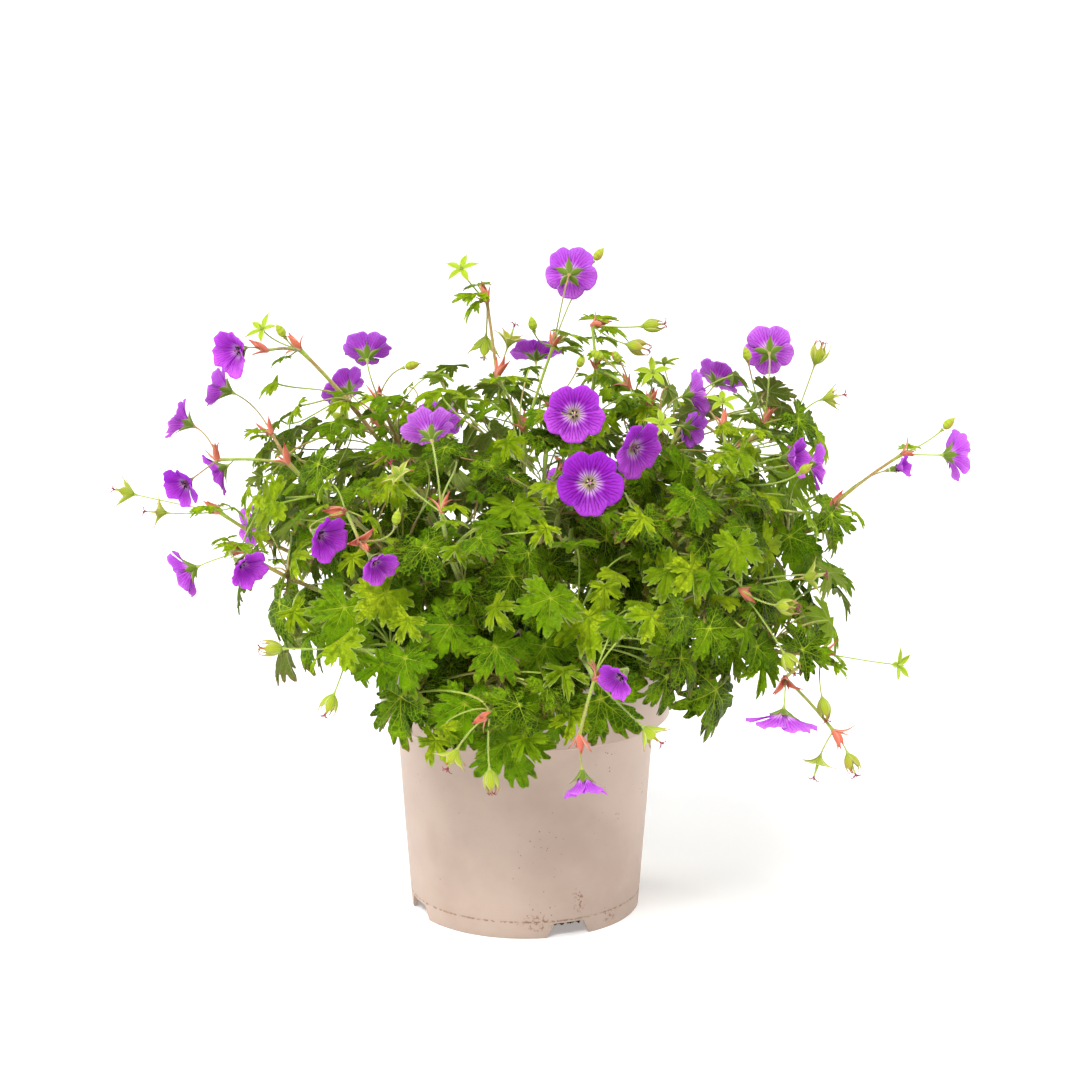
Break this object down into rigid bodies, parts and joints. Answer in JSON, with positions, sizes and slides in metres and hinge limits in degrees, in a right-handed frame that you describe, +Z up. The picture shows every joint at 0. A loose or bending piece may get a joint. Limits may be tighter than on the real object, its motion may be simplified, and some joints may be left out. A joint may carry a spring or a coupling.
{
  "type": "potted hardy geranium",
  "caption": "Bushy flowering hardy geranium with lobed leaves, violet saucer flowers and seed heads, in a tapered nursery pot with a deep rim band.",
  "frame": {"origin": "centre of the pot's foot on the surface it stands on", "axes": "+Z up through the pot, +X along the plant's widest spread, the side seen in the picture faces -Y"},
  "size_m": [0.6113, 0.4253, 0.4825],
  "materials": {
    "pot_plastic": "thin taupe nursery-pot plastic, satin, with soil marks",
    "soil": "dark moist peat with coarse fibres",
    "foliage": "soft lobed leaves, downy stems, green sepals and salmon bracts",
    "petals": "thin violet petals with darker veins and a pale throat"
  },
  "bodies": {
    "root": {"pot": "pot_plastic", "soil": "soil", "leafy_stem_01": "foliage", "leafy_stem_02": "foliage", "leafy_stem_03": "foliage", "leafy_stem_04": "foliage", "leafy_stem_05": "foliage", "leafy_stem_06": "foliage", "leafy_stem_07": "foliage", "leafy_stem_08": "foliage", "leafy_stem_09": "foliage", "leafy_stem_10": "foliage", "leafy_stem_11": "foliage", "leafy_stem_12": "foliage", "leafy_stem_13": "foliage", "leafy_stem_14": "foliage", "leafy_stem_15": "foliage", "leafy_stem_16": "foliage", "leafy_stem_17": "foliage", "leafy_stem_18": "foliage", "leafy_stem_19": "foliage", "leafy_stem_20": "foliage", "leafy_stem_21": "foliage", "leafy_stem_22": "foliage", "leafy_stem_23": "foliage", "leafy_stem_24": "foliage", "leafy_stem_25": "foliage", "bloom_01": "petals", "bloom_02": "petals", "bloom_03": "petals", "bloom_04": "petals", "bloom_05": "petals", "bloom_06": "petals", "bloom_07": "petals", "bloom_08": "petals", "bloom_09": "petals", "bloom_10": "petals", "bloom_11": "petals", "bloom_12": "petals", "bloom_13": "petals", "bloom_14": "petals", "bloom_15": "petals", "bloom_16": "petals", "bloom_17": "petals", "bloom_18": "petals", "bloom_19": "petals", "bloom_20": "petals", "bloom_21": "petals", "bloom_22": "petals", "bloom_23": "petals", "bloom_24": "petals", "bloom_25": "petals", "bloom_26": "petals", "bloom_27": "petals", "bloom_28": "petals", "bloom_29": "petals", "bloom_30": "petals", "bloom_31": "petals", "bloom_32": "petals", "bloom_33": "petals"}
  },
  "joints": []
}
